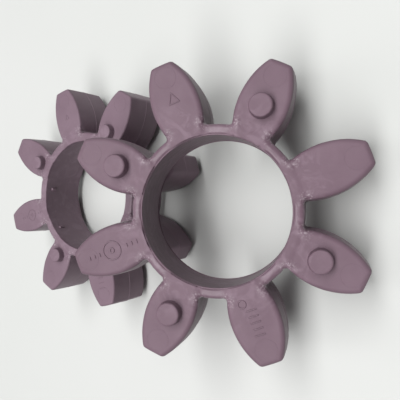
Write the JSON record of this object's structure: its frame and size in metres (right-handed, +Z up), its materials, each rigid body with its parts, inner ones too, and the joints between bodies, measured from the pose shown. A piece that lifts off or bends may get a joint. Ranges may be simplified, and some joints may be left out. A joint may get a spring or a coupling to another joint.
{
  "type": "jaw coupling spider pair",
  "caption": "Flexible inserts of a curved-jaw shaft coupling in neighbouring sizes: toothed rings with crowned teeth and spacer studs, one leaning on the other.",
  "frame": {"origin": "on the table, below the middle of the pair's bounding box", "axes": "+X from the small spider towards the large one, +Z up from the table"},
  "size_m": [0.1668, 0.1086, 0.0528],
  "materials": {
    "small_elastomer": "satin moulded polyurethane, mauve",
    "large_elastomer": "satin moulded polyurethane, mauve"
  },
  "bodies": {
    "small": {"small_spider": "small_elastomer"},
    "large": {"large_spider": "large_elastomer"}
  },
  "joints": [
    {"name": "lift", "type": "slide", "parent": "small", "child": "large", "axis": [0, 0, 1], "range_m": [0, 0.045]}
  ]
}
